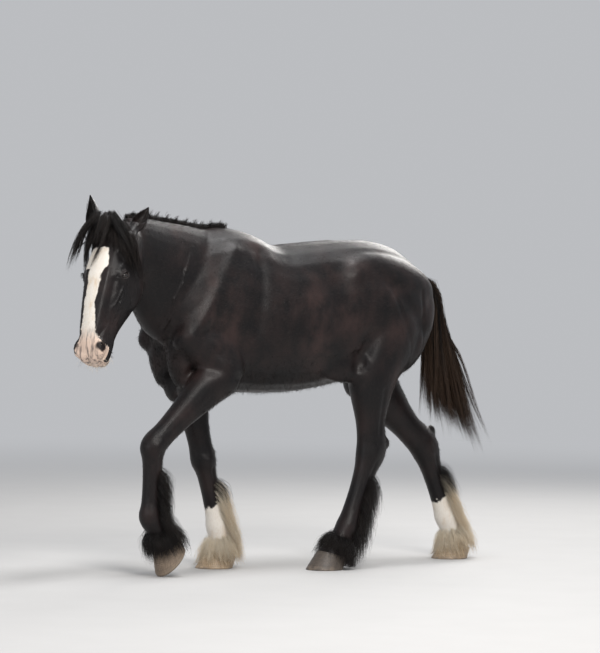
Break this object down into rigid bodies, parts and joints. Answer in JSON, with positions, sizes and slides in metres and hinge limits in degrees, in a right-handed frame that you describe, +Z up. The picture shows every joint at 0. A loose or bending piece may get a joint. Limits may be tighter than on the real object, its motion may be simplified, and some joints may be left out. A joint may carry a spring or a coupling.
{
  "type": "shire horse model",
  "caption": "Life-size still model of a black draught horse in mid-stride, with a white blaze, white feathered feet and a full tail.",
  "frame": {"origin": "on the floor under the middle of the whole box", "axes": "-X the way the horse faces, -Y its left side, +Z up; the soles it stands on lie at Z = 0"},
  "size_m": [2.6892, 0.6826, 1.859],
  "materials": {
    "black_coat": "short glossy black hair, brown where it thins",
    "white_hair": "long silky white hair, cream towards its ends",
    "tail_hair": "long coarse dark brown hair",
    "horn": "ridged horn, dull",
    "eye": "wet dark brown"
  },
  "bodies": {
    "root": {"torso": "black_coat", "neck": "black_coat", "head": "black_coat", "tail": "tail_hair", "ear_left": "black_coat", "ear_right": "black_coat", "eye_left": "eye", "eye_right": "eye", "fore_left_upper": "black_coat", "fore_left_shank": "black_coat", "fore_left_hoof": "horn", "fore_right_upper": "black_coat", "fore_right_shank": "white_hair", "fore_right_hoof": "horn", "hind_left_upper": "black_coat", "hind_left_shank": "black_coat", "hind_left_hoof": "horn", "hind_right_upper": "black_coat", "hind_right_shank": "white_hair", "hind_right_hoof": "horn"}
  },
  "joints": []
}
